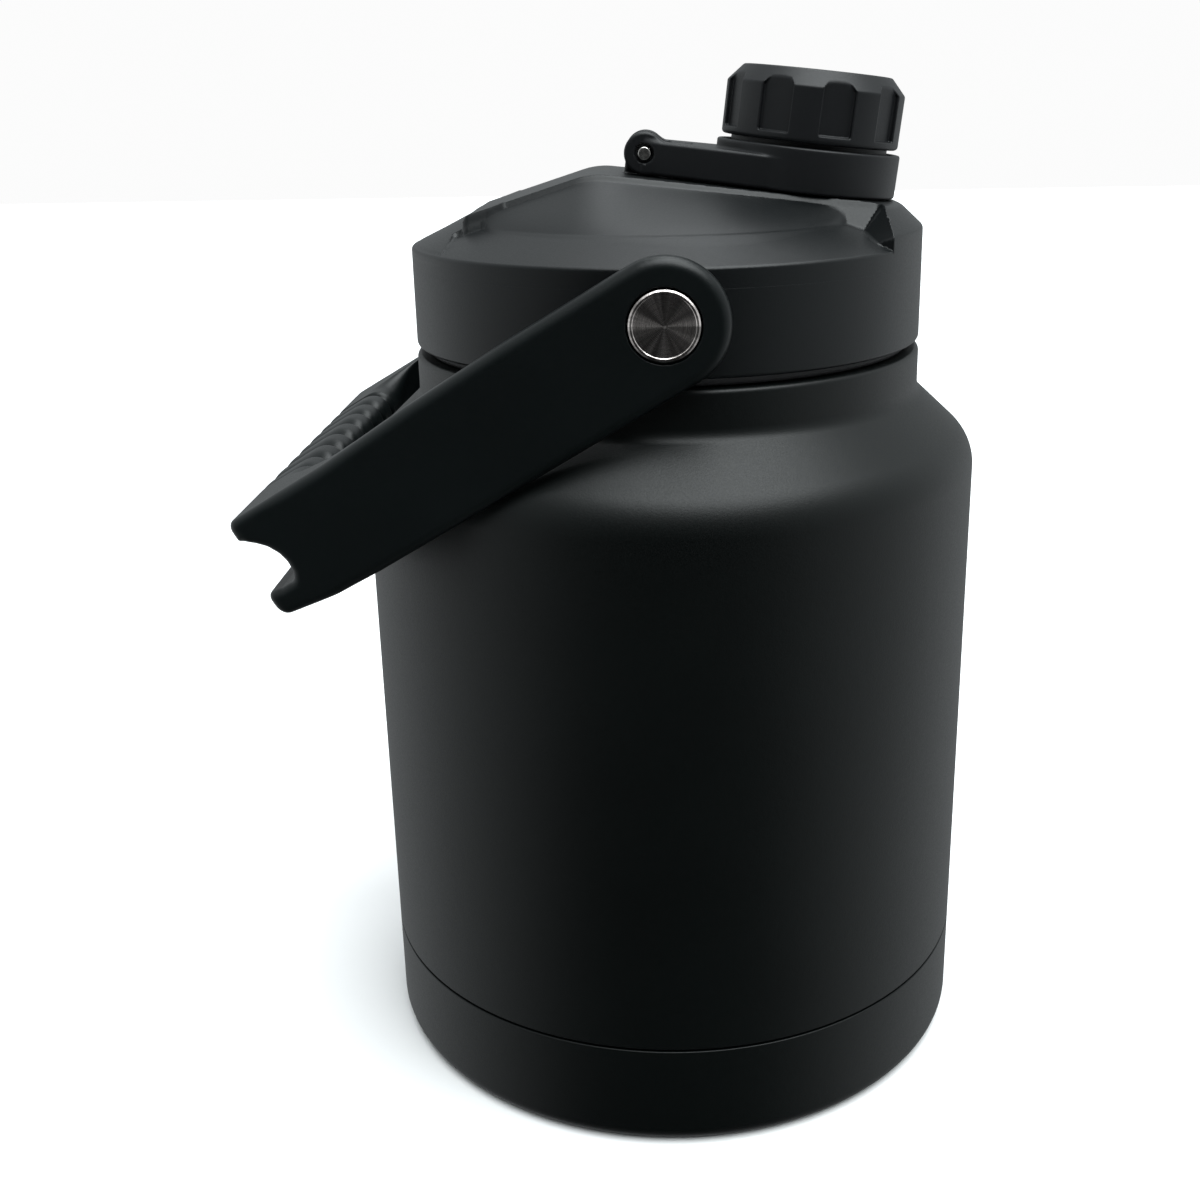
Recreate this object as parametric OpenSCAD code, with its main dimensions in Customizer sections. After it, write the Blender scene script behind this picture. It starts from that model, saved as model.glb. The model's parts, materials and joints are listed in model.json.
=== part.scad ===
// Insulated stainless steel growler: a double-wall vacuum jug with a screw lid,
// a tethered screw cap over the drinking spout, and a swinging bail handle.
// The origin is at the centre of the base, on the surface it stands on.
// +Z is up, +X is the spout side, and the bail's axis runs along Y.

/* [Vessel] */
// Outer radius of the vessel
body_r = 73; // [71:0.5:75]
// Outer radius of the neck
neck_r = 59.3; // [58.8:0.1:60]
// Height where the cylindrical wall turns into the shoulder
shoulder_z = 144.3; // [140:0.1:145]
// Height of the mouth's rim
rim_z = 172; // [171.5:0.1:172.3]
// Thickness of the outer wall
wall_t = 1; // [0.8:0.1:1.2]
// Thickness of the liner
liner_t = 0.8; // [0.6:0.1:1]
// Height of the seam between the base cup and the wall
seam_z = 25; // [20:1:32]
// Radius of the base's edge
base_edge_r = 4.4; // [3:0.2:6]

/* [Lid] */
// Outer radius of the lid's wall
lid_r = 59.2; // [59:0.1:59.6]
// Height of the lid's lower edge
lid_z = 174; // [173.8:0.1:174.4]
// Height of the edge at the top of the lid's wall
lid_edge_z = 196.2; // [195.5:0.1:197]
// Pitch of the lid's thread
lid_pitch = 6; // [5:0.5:6]
// Half width of the raised deck
deck_half_w = 20; // [18:0.5:22]

/* [Spout and cap] */
// Tilt of the spout and the deck towards the front, in degrees
spout_tilt = 6.7; // [6:0.1:7]
// Height of the spout above the deck
spout_h = 17; // [15:0.5:17]
// Radius of the spout's bore
spout_bore_r = 10.6; // [9:0.1:10.8]
// Pitch of the cap's thread
cap_pitch = 3.5; // [3:0.1:3.5]
// Outer radius of the cap
cap_r = 20.2; // [20:0.1:20.6]
// Height of the cap's top above the deck
cap_top = 26.5; // [26:0.1:28]
// Number of grip pockets round the cap
pocket_count = 9; // [6:1:9]
// Outer radius of the tether's ring
tether_r = 21; // [20.8:0.1:21.5]

/* [Bail handle] */
// Height of the bail's pivot
pivot_z = 186; // [185.5:0.1:186.5]
// Angle of the resting bail below the horizontal, in degrees
bail_angle = 29.4; // [28:0.1:29.4]
// Radius of the eye round the pivot
eye_r = 13.3; // [12.5:0.1:13.5]
// Distance between the arms' outer faces
bail_w = 132; // [132:0.5:134]
// Thickness of the arms
arm_t = 4.5; // [4:0.1:4.6]

/* [Hidden] */

eps = 0.01;
big = 400;
smooth = 96;

// Vessel
slope = 47;
shoulder_r = 12;
neck_blend_r = 4;
liner_r = 68;
liner_neck_r = 54.3;
liner_floor_z = 12;
liner_corner_r = 12;
liner_shoulder_r = 12;
liner_blend_r = 6;
liner_neck_z = 157;
seam_gap = 0.6;
spigot_h = 7;
cup_t = 1.2;
foot_r = 52;
bottom_z = 4.5;
bottom_t = 1;
port_r = 4;
foil_t = 0.25;
foil_gap = 0.5;
getter_r = 9;
getter_h = 2.4;

// Lid
lid_t = 2.2;
plug_r = 52.4;
plug_t = 2.2;
plug_z = 152;
flange_z = 174.4;
flange_t = 2;
neck_crest_r = 53.45;
plug_crest_r = 53.15;
oring_r = 1.2;
oring_z = 170.4;
scoop_r = 45.8;
scoop_z = 201;
ridge_x = -14;
deck_front = [53.3, 204.2];
deck_rear = [-44.5, 203.7];
ledge_y = 34;

// Spout frame: its origin is where the spout's axis crosses the deck
spout_x = 31.8;
spout_z = deck_front[1] + (deck_front[0] - spout_x) * tan(spout_tilt);
ridge_z = deck_front[1] + (deck_front[0] - ridge_x) * tan(spout_tilt);
pipe_r = 13;
taper = 0.15;
taper_w = 5;
crest_r = 15;
thread_h = 0.9;
thread_gap = 0.3;
function crest_at(w) = crest_r - taper * (w - taper_w);

// Tether hinge, in the spout frame
pin_u = -37.3;
pin_w = 5;
pin_r = 1.5;
pin_play = 0.05;
knuckle_r = 4.6;
fork_w = 22;
lug_w = 9.8;
slot_w = 10.6;

// Tether ring and cap, in the spout frame
ring_w0 = 0.4;
ring_w1 = 10;
arm_top = 7.8;
skirt_r = 17.9;
lip_r = 18.2;
recess_r = 19.4;
lip_w = 8;
skirt_w0 = 1.6;
cap_w0 = 11;
cap_ceiling = 19;
cap_roof = 21;
cap_skin = 2.2;
chamfer_w = 22.8;
chamfer_r = 16.8;
gasket_r = 13.7;
pocket_w0 = 12.8;
pocket_width = 7.2;
pocket_depth = 1.4;

// Bail
pivot_x = -0.5;
arm_in = bail_w / 2 - arm_t;
bar_x = -74.3;
corner_r = 14;
groove_r = 5.6;
groove_at = [-95.9, -2.6];
upper_tip = [-96.2, 7.7];
upper_tip_r = 2;
lower_tip = [-94.5, -9.8];
lower_tip_r = 3.4;
nest_gap = 0.5;
head_r = 7.1;
head_out = 66.4;
head_in = 63.9;
sink_r = 7.5;
sink_y = 63.5;
shank_r = 4;
shank_play = 0.05;
screw_r = 2.5;
bush_r = 5.5;
boss_r = 9.4;
boss_y = 60.7;
insert_r = 3.6;
insert_y0 = 51;
washer_r = 8.8;
washer_t = 0.5;

// ---------- general shapes ----------

module tube(r_out, r_in, z0, z1) {
  difference() {
    translate([0, 0, z0]) cylinder(r = r_out, h = z1 - z0, $fn = smooth);
    translate([0, 0, z0 - 1]) cylinder(r = r_in, h = z1 - z0 + 2, $fn = smooth);
  }
}

// Solid of revolution about Y from y0 out to y1, on the side given by s
module along_y(s, y0, y1, r) {
  translate([0, s > 0 ? y0 : -y0, 0])
    rotate([s > 0 ? -90 : 90, 0, 0]) cylinder(r = r, h = y1 - y0, $fn = smooth);
}

// A flat shape drawn in x and z, centred on y = 0
module slab(width) {
  rotate([90, 0, 0]) linear_extrude(width, center = true) children();
}

module at_spout() {
  translate([spout_x, 0, spout_z]) rotate([0, spout_tilt, 0]) children();
}

module at_pivot() {
  translate([pivot_x, 0, pivot_z]) children();
}

// Helical rib: inner = 1 for an inward rib. Its height fades to nothing at both ends.
// root and crest give the radius as [at height 0, change per unit height].
module thread_rib(root, crest, pitch, turns, z0, base_w, top_w, steps = 40) {
  n = ceil(turns * steps);
  fade = 0.12;
  pts = [for (i = [0:n])
    let (a = 360 * turns * i / n,
         z = z0 + pitch * turns * i / n,
         k = max(0.02, min(1, i / n / fade, (1 - i / n) / fade)),
         ro = root[0] + root[1] * z,
         rc = crest[0] + crest[1] * z,
         rt = ro + (rc - ro) * k)
    for (p = [[ro, -base_w / 2], [ro, base_w / 2], [rt, top_w / 2], [rt, -top_w / 2]])
      [p[0] * cos(a), p[0] * sin(a), z + p[1]]];
  out = crest[0] > root[0];
  quad = [for (i = [0:n - 1]) for (j = [0:3])
    let (a = 4 * i + j, b = 4 * i + (j + 1) % 4)
    out ? [a, a + 4, b + 4, b] : [a, b, b + 4, a + 4]];
  cap0 = out ? [0, 1, 2, 3] : [3, 2, 1, 0];
  cap1 = [for (v = cap0) 4 * n + 3 - v];
  polyhedron(points = pts, faces = concat(quad, [cap0, cap1]), convexity = 6);
}

// ---------- vessel ----------

// Half section of a bottle: side wall, rounded floor corner, sloping shoulder and neck.
module bottle_half(r, neck, z_floor, z_shoulder, z_neck, z_top, r_floor, r_sh, r_bl) {
  c1 = [r - r_sh, z_shoulder];
  c2 = [neck + r_bl, z_neck];
  difference() {
    union() {
      polygon([[0, z_floor], [r - r_floor, z_floor], [r, z_floor + r_floor], [r, c1[1]],
               [c1[0] + r_sh * cos(slope), c1[1] + r_sh * sin(slope)],
               [c2[0] - r_bl * cos(slope), c2[1] - r_bl * sin(slope)],
               [neck, c2[1]], [neck, z_top], [0, z_top]]);
      translate([r - r_floor, z_floor + r_floor]) circle(r_floor, $fn = smooth);
      translate(c1) circle(r_sh, $fn = smooth);
    }
    translate(c2) circle(r_bl, $fn = smooth);
  }
}

// Height of the neck blend's centre, so that the slope is tangent to both arcs
function neck_blend_z(r, neck, z_shoulder, r_sh, r_bl) =
  z_shoulder + (r_sh + r_bl + (r - r_sh - neck - r_bl) * cos(slope)) / sin(slope);
outer_neck_z = neck_blend_z(body_r, neck_r, shoulder_z, shoulder_r, neck_blend_r);
liner_shoulder_z = liner_neck_z
  - (liner_shoulder_r + liner_blend_r
     + (liner_r - liner_shoulder_r - liner_neck_r - liner_blend_r) * cos(slope)) / sin(slope);

module outer_half(t) {
  bottle_half(body_r - t, neck_r - t, 0, shoulder_z, outer_neck_z, rim_z,
              base_edge_r, shoulder_r - t, neck_blend_r + t);
}

module liner_half(t) {
  bottle_half(liner_r + t, liner_neck_r + t, liner_floor_z - t, liner_shoulder_z, liner_neck_z,
              rim_z, liner_corner_r + t, liner_shoulder_r + t, liner_blend_r - t);
}

module band(z0, z1) {
  translate([0, z0]) square([big, z1 - z0]);
}

module outer_shell() {
  lip = 1.2;
  color("#1d2122") rotate_extrude($fn = smooth) {
    difference() {
      intersection() {
        outer_half(0);
        band(seam_z + seam_gap, rim_z - lip);
      }
      outer_half(wall_t);
    }
    // Rolled lip that closes the top of the wall against the liner
    difference() {
      union() {
        translate([liner_neck_r + liner_t, rim_z - lip])
          square([neck_r - lip - liner_neck_r - liner_t, lip]);
        translate([neck_r - lip, rim_z - lip]) circle(lip, $fn = smooth);
      }
      translate([0, rim_z - 3 * lip]) square([neck_r - wall_t, 2 * lip]);
      translate([0, rim_z - 3 * lip]) square([neck_r + 1, 2 * lip]);
    }
  }
}

module base_cup() {
  color("#1d2122") rotate_extrude($fn = smooth) difference() {
    union() {
      intersection() {
        outer_half(0);
        band(0, seam_z);
      }
      intersection() {
        outer_half(wall_t + 0.05);
        band(seam_z - eps, seam_z + spigot_h);
      }
    }
    difference() {
      outer_half(cup_t + wall_t);
      band(-1, 1.6);
    }
    translate([-1, -1]) square([foot_r + 1, big]);
  }
  color("#1d2122") tube(foot_r + 0.8, foot_r - 1.2, 0.6, bottom_z + bottom_t);
}

module outer_bottom() {
  color("#3a3d3e") difference() {
    translate([0, 0, bottom_z]) cylinder(r = foot_r - 1.2, h = bottom_t, $fn = smooth);
    translate([0, 0, bottom_z - 1]) cylinder(r = 1.2, h = bottom_t + 2, $fn = smooth);
    translate([0, 0, bottom_z - eps]) cylinder(r = port_r, h = 0.5, $fn = smooth);
  }
}

module port_seal() {
  color("silver") translate([0, 0, bottom_z + 0.1])
    cylinder(r = port_r - 0.2, h = 0.35, $fn = smooth);
}

module getter() {
  color("dimgray") translate([25, 0, liner_floor_z - liner_t - getter_h])
    cylinder(r = getter_r, h = getter_h, $fn = smooth);
}

module inner_liner() {
  color("silver") {
    rotate_extrude($fn = smooth) difference() {
      liner_half(liner_t);
      liner_half(0);
      translate([0, rim_z - 1]) square([liner_neck_r, 2]);
    }
    thread_rib([liner_neck_r + liner_t / 2, 0], [neck_crest_r, 0], lid_pitch, 1.25,
               159.2, 3, 1.2);
  }
}

module radiation_foil() {
  t = liner_t + foil_gap;
  color("peru") rotate_extrude($fn = smooth) intersection() {
    difference() {
      liner_half(t + foil_t);
      liner_half(t);
    }
    band(30, liner_shoulder_z);
  }
}

module rim_gasket() {
  color("#202020") tube(lid_r - lid_t - 0.3, 54.9, rim_z + 0.1, flange_z - 0.1);
}

module plug_oring() {
  color("#202020") rotate_extrude($fn = smooth)
    translate([plug_r + 0.4, oring_z]) circle(oring_r, $fn = 48);
}

// ---------- lid ----------

module deck_band(drop, half_w) {
  slab(2 * half_w) polygon([
    [deck_rear[0] + drop, scoop_z - 3 - drop], [deck_rear[0] + drop, deck_rear[1] - drop],
    [ridge_x - 6, ridge_z - 0.7 - drop], [ridge_x, ridge_z - drop],
    [scoop_r - 0.5 - drop, deck_front[1] + (deck_front[0] - scoop_r) * tan(spout_tilt) - drop],
    [scoop_r - 0.5 - drop, scoop_z - 3 - drop]]);
}

// The block at each end of the deck, wider than the deck and with its own chamfer
module end_block(s, section) {
  intersection() {
    linear_extrude(big) polygon([[s * 39, -deck_half_w], [s * 46, -24], [s * 48.6, -ledge_y],
      [s * 80, -ledge_y], [s * 80, ledge_y], [s * 48.6, ledge_y], [s * 46, 24],
      [s * 39, deck_half_w]]);
    rotate_extrude($fn = smooth) polygon(section);
    slab(2 * ledge_y) polygon([[-80, 180], [-80, 192], deck_rear + [0, 0.2], [ridge_x, ridge_z],
      deck_front, deck_front + [30, -30 * tan(spout_tilt)], [90, 180]]);
  }
}

module lid_top() {
  rotate_extrude($fn = smooth)
    polygon([[0, lid_z], [lid_r - 0.8, lid_z], [lid_r, lid_z + 0.8], [lid_r, lid_edge_z],
             [scoop_r, scoop_z], [0, scoop_z]]);
  hull() {
    translate([0, 0, scoop_z - 1]) cylinder(r = scoop_r, h = 1, $fn = 64);
    deck_band(0, deck_half_w);
  }
  end_block(-1, [[0, lid_z + 5], [lid_r, lid_z + 5], [lid_r, lid_edge_z - 0.3], [51.5, 200.4],
                 [44.8, 203.6], [0, 220]]);
  end_block(1, [[0, lid_z + 5], [lid_r, lid_z + 5], [lid_r, lid_edge_z], [57.3, 199.6],
                [deck_front[0], deck_front[1] + 0.5], [0, 220]]);
}

module lid_hollow() {
  rotate_extrude($fn = smooth)
    polygon([[0, lid_z - 1], [lid_r - lid_t, lid_z - 1], [lid_r - lid_t, lid_edge_z - 2.8],
             [scoop_r - 1.6, scoop_z - lid_t - 0.4], [0, scoop_z - lid_t - 0.4]]);
  hull() {
    translate([0, 0, scoop_z - lid_t - 1.4]) cylinder(r = scoop_r - lid_t, h = 1, $fn = 64);
    deck_band(lid_t + 0.2, deck_half_w - 1);
  }
}

module lid_cover() {
  color("#232729") difference() {
    union() {
      difference() {
        lid_top();
        lid_hollow();
      }
      for (s = [-1, 1]) at_pivot() along_y(s, 50.5, boss_y, boss_r);
      at_spout() intersection() {
        slab(lug_w) {
          translate([pin_u, pin_w]) circle(knuckle_r - 0.4, $fn = smooth);
          translate([pin_u - knuckle_r + 0.4, -1.5]) square([2 * knuckle_r - 0.8, pin_w + 1.5]);
        }
      }
    }
    for (s = [-1, 1]) at_pivot() along_y(s, 40, 80, insert_r);
    at_spout() translate([0, 0, -20]) cylinder(r = pipe_r, h = 40, $fn = smooth);
    at_spout() translate([0, 0, -20])
      cylinder(r = pipe_r + 1.6, h = 20 - lid_t - 0.3, $fn = smooth);
    at_spout() translate([pin_u, 0, pin_w]) rotate([90, 0, 0])
      cylinder(r = pin_r + pin_play, h = 60, center = true, $fn = smooth);
  }
}

module lid_plug() {
  color("#2b2f31") difference() {
    union() {
      translate([0, 0, plug_z]) cylinder(r = plug_r, h = flange_z - plug_z + flange_t, $fn = smooth);
      translate([0, 0, flange_z]) cylinder(r = lid_r - lid_t, h = flange_t, $fn = smooth);
      thread_rib([plug_r - 0.5, 0], [plug_crest_r, 0], lid_pitch, 1.25, 158.4, 3, 1.2);
    }
    translate([0, 0, plug_z + plug_t]) cylinder(r = plug_r - plug_t, h = big, $fn = smooth);
    rotate_extrude($fn = smooth) translate([plug_r + 0.4, oring_z]) circle(oring_r, $fn = 48);
    at_spout() translate([0, 0, -80]) cylinder(r = pipe_r, h = 100, $fn = smooth);
  }
}

module lid_foam() {
  r = plug_r - plug_t - 0.3;
  color("khaki") difference() {
    translate([0, 0, plug_z + plug_t + 0.2])
      cylinder(r = r, h = lid_edge_z - 3 - plug_z - plug_t, $fn = smooth);
    at_spout() translate([0, 0, -80]) cylinder(r = pipe_r + 0.3, h = 100, $fn = smooth);
  }
}

module spout() {
  top_r = crest_at(spout_h) - thread_h;
  color("#232729") difference() {
    union() {
      at_spout() {
        translate([0, 0, -70]) cylinder(r = pipe_r, h = 71, $fn = smooth);
        translate([0, 0, 0.05]) cylinder(r = 15.6, h = 1, $fn = smooth);
        rotate_extrude($fn = smooth) polygon([[0, 0.5], [crest_at(1) - thread_h, 0.5],
          [crest_at(1) - thread_h, 1], [top_r, spout_h - 0.6], [top_r - 0.6, spout_h], [0, spout_h]]);
        thread_rib([crest_at(0) - thread_h - 0.4, -taper], [crest_at(0), -taper],
                   cap_pitch, 2.5, 4.4, 1.9, 0.7);
      }
    }
    at_spout() translate([0, 0, -90]) cylinder(r = spout_bore_r, h = 120, $fn = smooth);
    translate([-big / 2, -big / 2, plug_z - big]) cube([big, big, big]);
  }
}

module spout_gasket() {
  color("#202020") at_spout() tube(pipe_r + 1.4, pipe_r + 0.1, -lid_t - 1.6, -lid_t - 0.4);
}

// ---------- bail handle ----------

// Side view of the bail, with the pivot at the origin and the crossbar towards -x.
// A finger groove runs along the outer face of the crossbar.
module bail_outline() {
  difference() {
    union() {
      circle(eye_r, $fn = smooth);
      polygon([[0, eye_r], [-29.5, 12.8], [-53.5, 11.7], [-74, 10.2], upper_tip + [0, upper_tip_r],
               upper_tip - [upper_tip_r, 0], lower_tip - [lower_tip_r, 0],
               lower_tip - [0, lower_tip_r], [-86, -14.2], [-76, -14.5], [-40, -14], [0, -eye_r]]);
      translate(upper_tip) circle(upper_tip_r, $fn = smooth);
      translate(lower_tip) circle(lower_tip_r, $fn = smooth);
    }
    translate(groove_at) circle(groove_r, $fn = smooth);
    polygon([groove_at + groove_r * [cos(50), sin(50)], [-98.6, 6.1], [-120, 6.1],
             [-120, -7.8], [-98.6, -7.8], groove_at - [0, groove_r]]);
  }
}

// Vertical prism that clears the vessel and leaves room for the hand
module bail_window() {
  x1 = 60;
  linear_extrude(big, center = true) {
    translate([bar_x + corner_r, -arm_in]) square([x1 - bar_x, 2 * arm_in]);
    translate([bar_x, -arm_in + corner_r]) square([x1 - bar_x, 2 * (arm_in - corner_r)]);
    for (s = [-1, 1]) translate([bar_x + corner_r, s * (arm_in - corner_r)])
      circle(corner_r, $fn = smooth);
  }
}

module handle() {
  color("#1f2426") difference() {
    at_pivot() rotate([0, -bail_angle, 0]) slab(bail_w) bail_outline();
    translate([0, 0, pivot_z]) bail_window();
    // Relief that lets the arms nest on the shoulder
    rotate_extrude($fn = smooth) outer_half(-nest_gap);
    for (s = [-1, 1]) at_pivot() {
      along_y(s, sink_y, 80, sink_r);
      along_y(s, 40, 80, bush_r);
    }
  }
}

module pivot_bolt(s) {
  color("gainsboro") at_pivot() {
    along_y(s, head_in, head_out, head_r);
    along_y(s, boss_y, head_in + eps, shank_r);
    along_y(s, insert_y0 + 2, boss_y + eps, screw_r);
  }
}

module pivot_bushing(s) {
  color("ivory") at_pivot() difference() {
    along_y(s, arm_in, sink_y + 0.1, bush_r);
    along_y(s, arm_in - 1, 80, shank_r + shank_play);
  }
}

module pivot_washer(s) {
  color("ivory") at_pivot() difference() {
    along_y(s, boss_y, boss_y + washer_t, washer_r);
    along_y(s, boss_y - 1, boss_y + 2, shank_r + shank_play);
  }
}

module thread_insert(s) {
  color("goldenrod") at_pivot() difference() {
    along_y(s, insert_y0, boss_y, insert_r);
    along_y(s, insert_y0 - 1, boss_y + 1, screw_r);
  }
}

// ---------- tether and cap ----------

module arm_plan() {
  hull() {
    circle(tether_r, $fn = smooth);
    translate([pin_u, -fork_w / 2]) square([1, fork_w]);
  }
}

module tether_ring() {
  color("#232729") at_spout() difference() {
    union() {
      translate([0, 0, ring_w0]) cylinder(r = tether_r, h = ring_w1 - ring_w0, $fn = smooth);
      // Arm with straight sides tangent to the ring
      intersection() {
        translate([0, 0, ring_w0]) linear_extrude(arm_top - ring_w0) arm_plan();
        translate([pin_u, -fork_w / 2 - 5, 0]) cube([-pin_u, fork_w + 32, arm_top]);
      }
      mirror([0, 1, 0]) intersection() {
        translate([0, 0, ring_w0]) linear_extrude(arm_top - ring_w0) arm_plan();
        translate([pin_u, -fork_w / 2 - 5, 0]) cube([-pin_u, fork_w + 32, arm_top]);
      }
      translate([pin_u, 0, pin_w]) rotate([90, 0, 0])
        cylinder(r = knuckle_r, h = fork_w, center = true, $fn = smooth);
    }
    translate([0, 0, -1]) cylinder(r = recess_r, h = lip_w + 1, $fn = smooth);
    translate([0, 0, -1]) cylinder(r = lip_r, h = 20, $fn = smooth);
    translate([pin_u - 10, -slot_w / 2, -5]) cube([10 + knuckle_r + 1, slot_w, 20]);
    translate([pin_u, 0, pin_w]) rotate([90, 0, 0])
      cylinder(r = pin_r, h = 60, center = true, $fn = smooth);
  }
}

module hinge_pin() {
  color("silver") at_spout() translate([pin_u, 0, pin_w]) rotate([90, 0, 0])
    cylinder(r = pin_r, h = fork_w + 0.6, center = true, $fn = smooth);
}

module cap_retainer() {
  color("#2b2f31") at_spout() tube(recess_r - 0.3, skirt_r - 0.65, 1.95, 3.05);
}

module cap_shell() {
  color("#1f2426") at_spout() difference() {
    rotate_extrude($fn = smooth) polygon([[0, cap_w0], [cap_r - 0.4, cap_w0], [cap_r, cap_w0 + 0.4],
      [cap_r, chamfer_w], [chamfer_r, cap_top], [0, cap_top]]);
    translate([0, 0, cap_w0 - 1]) cylinder(r = skirt_r, h = cap_roof - cap_w0 + 1, $fn = smooth);
    translate([0, 0, cap_w0]) cylinder(r = skirt_r - 2, h = cap_top - cap_skin - cap_w0, $fn = smooth);
    for (i = [0:pocket_count - 1]) rotate(360 / pocket_count * i)
      translate([cap_r - pocket_depth, -pocket_width / 2, pocket_w0])
        cube([5, pocket_width, cap_top]);
  }
}

module cap_liner() {
  root = crest_at(0) + thread_gap + thread_h;
  color("#2b2f31") at_spout() {
    difference() {
      translate([0, 0, skirt_w0]) cylinder(r = skirt_r, h = cap_roof - skirt_w0, $fn = smooth);
      rotate_extrude($fn = smooth) polygon([[0, skirt_w0 - 1],
        [root - taper * (skirt_w0 - 1), skirt_w0 - 1],
        [root - taper * cap_ceiling, cap_ceiling], [0, cap_ceiling]]);
      tube(skirt_r + 2, skirt_r - 0.7, 1.9, 3.1);
    }
    thread_rib([root + 0.4, -taper], [crest_at(0) + thread_gap, -taper],
               cap_pitch, 2.5, 6.2, 1.9, 0.7);
  }
}

module cap_gasket() {
  color("#202020") at_spout() tube(gasket_r, 8, spout_h + 0.2, cap_ceiling);
}

outer_shell();
base_cup();
outer_bottom();
port_seal();
getter();
inner_liner();
radiation_foil();
rim_gasket();
plug_oring();
lid_cover();
lid_plug();
lid_foam();
spout();
spout_gasket();
handle();
pivot_bolt(1);  // pivot_bolt_left
pivot_bolt(-1);  // pivot_bolt_right
pivot_bushing(1);  // pivot_bushing_left
pivot_bushing(-1);  // pivot_bushing_right
pivot_washer(1);  // pivot_washer_left
pivot_washer(-1);  // pivot_washer_right
thread_insert(1);  // thread_insert_left
thread_insert(-1);  // thread_insert_right
tether_ring();
hinge_pin();
cap_retainer();
cap_shell();
cap_liner();
cap_gasket();
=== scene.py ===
"""Looks of the insulated growler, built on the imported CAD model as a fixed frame.

Lengths inside the shape code are millimetres; meshes are written in metres.
"""
import json
import math

import bpy
import numpy as np
from mathutils import Matrix, Vector


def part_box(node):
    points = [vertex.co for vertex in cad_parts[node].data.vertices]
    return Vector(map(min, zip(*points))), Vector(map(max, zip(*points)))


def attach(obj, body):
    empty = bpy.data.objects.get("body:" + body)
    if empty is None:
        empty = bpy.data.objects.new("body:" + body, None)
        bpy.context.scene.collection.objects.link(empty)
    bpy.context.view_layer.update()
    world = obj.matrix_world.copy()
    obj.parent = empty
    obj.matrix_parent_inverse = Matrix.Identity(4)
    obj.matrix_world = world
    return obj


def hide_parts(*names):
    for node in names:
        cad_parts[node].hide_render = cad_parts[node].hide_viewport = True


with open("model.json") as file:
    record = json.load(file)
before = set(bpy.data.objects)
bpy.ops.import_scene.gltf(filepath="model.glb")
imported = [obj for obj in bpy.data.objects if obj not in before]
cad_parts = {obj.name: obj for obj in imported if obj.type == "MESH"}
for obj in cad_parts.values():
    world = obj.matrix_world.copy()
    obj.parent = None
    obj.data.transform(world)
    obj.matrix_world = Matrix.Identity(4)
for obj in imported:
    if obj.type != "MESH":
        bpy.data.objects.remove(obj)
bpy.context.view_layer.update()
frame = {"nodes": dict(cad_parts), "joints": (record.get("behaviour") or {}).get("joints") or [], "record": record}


MM = 0.001

# ---------------------------------------------------------------- camera

cam_data = bpy.data.cameras.new("camera")
cam_data.sensor_width = 36.0
cam_data.lens = 42.87
cam_data.shift_x = -0.0328
cam_data.shift_y = -0.0430
cam_data.clip_start = 0.01
cam_data.clip_end = 20.0
camera = bpy.data.objects.new("camera", cam_data)
bpy.context.scene.collection.objects.link(camera)
right = Vector((0.99973, 0.01671, -0.01636)).normalized()
forward = Vector((-0.02092, 0.95170, -0.30630)).normalized()
up = right.cross(forward).normalized()
right = forward.cross(up).normalized()
camera.matrix_world = Matrix((
    (right.x, up.x, -forward.x, 0.0),
    (right.y, up.y, -forward.y, -0.34207),
    (right.z, up.z, -forward.z, 0.22987),
    (0, 0, 0, 1)))
bpy.context.scene.camera = camera

# ---------------------------------------------------------------- places taken from the CAD

joints = {j["name"]: j for j in frame["joints"]}


def joint_pos(name):
    return np.array(joints[name]["pos_m"], float) / MM


PIVOT = joint_pos("bail_swing")
AXIS_W = np.array(joints["cap_turn"]["axis"], float)
AXIS_U = np.array([AXIS_W[2], 0.0, -AXIS_W[0]])
TILT = math.atan2(AXIS_W[0], AXIS_W[2])
PIN_U, PIN_W = -37.3, 5.0  # tether hinge in the spout's own axes
SPOUT = joint_pos("tether_flip") - PIN_U * AXIS_U - PIN_W * AXIS_W
BODY_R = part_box("outer_shell")[1].x / MM
LID_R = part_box("lid_cover")[1].x / MM
RIM_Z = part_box("outer_shell")[1].z / MM
SEAM_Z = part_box("outer_shell")[0].z / MM - 0.6
LID_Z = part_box("lid_cover")[0].z / MM
CAP_R = 20.2

# ---------------------------------------------------------------- materials


def node_material(name, base, rough, metallic=0.0):
    mat = bpy.data.materials.new(name)
    mat.use_nodes = True
    nt = mat.node_tree
    bsdf = nt.nodes["Principled BSDF"]
    bsdf.inputs["Base Color"].default_value = (*base, 1.0)
    bsdf.inputs["Roughness"].default_value = rough
    bsdf.inputs["Metallic"].default_value = metallic
    coords = nt.nodes.new("ShaderNodeTexCoord")
    return mat, nt, bsdf, coords


def noise(nt, coords, scale, detail=2.0, rough=0.5):
    n = nt.nodes.new("ShaderNodeTexNoise")
    n.inputs["Scale"].default_value = scale
    n.inputs["Detail"].default_value = detail
    n.inputs["Roughness"].default_value = rough
    nt.links.new(coords.outputs["Object"], n.inputs["Vector"])
    return n.outputs["Fac"]


def remap(nt, value, lo, hi, from_lo=0.3, from_hi=0.7):
    m = nt.nodes.new("ShaderNodeMapRange")
    m.inputs["From Min"].default_value = from_lo
    m.inputs["From Max"].default_value = from_hi
    m.inputs["To Min"].default_value = lo
    m.inputs["To Max"].default_value = hi
    nt.links.new(value, m.inputs["Value"])
    return m.outputs["Result"]


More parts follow.
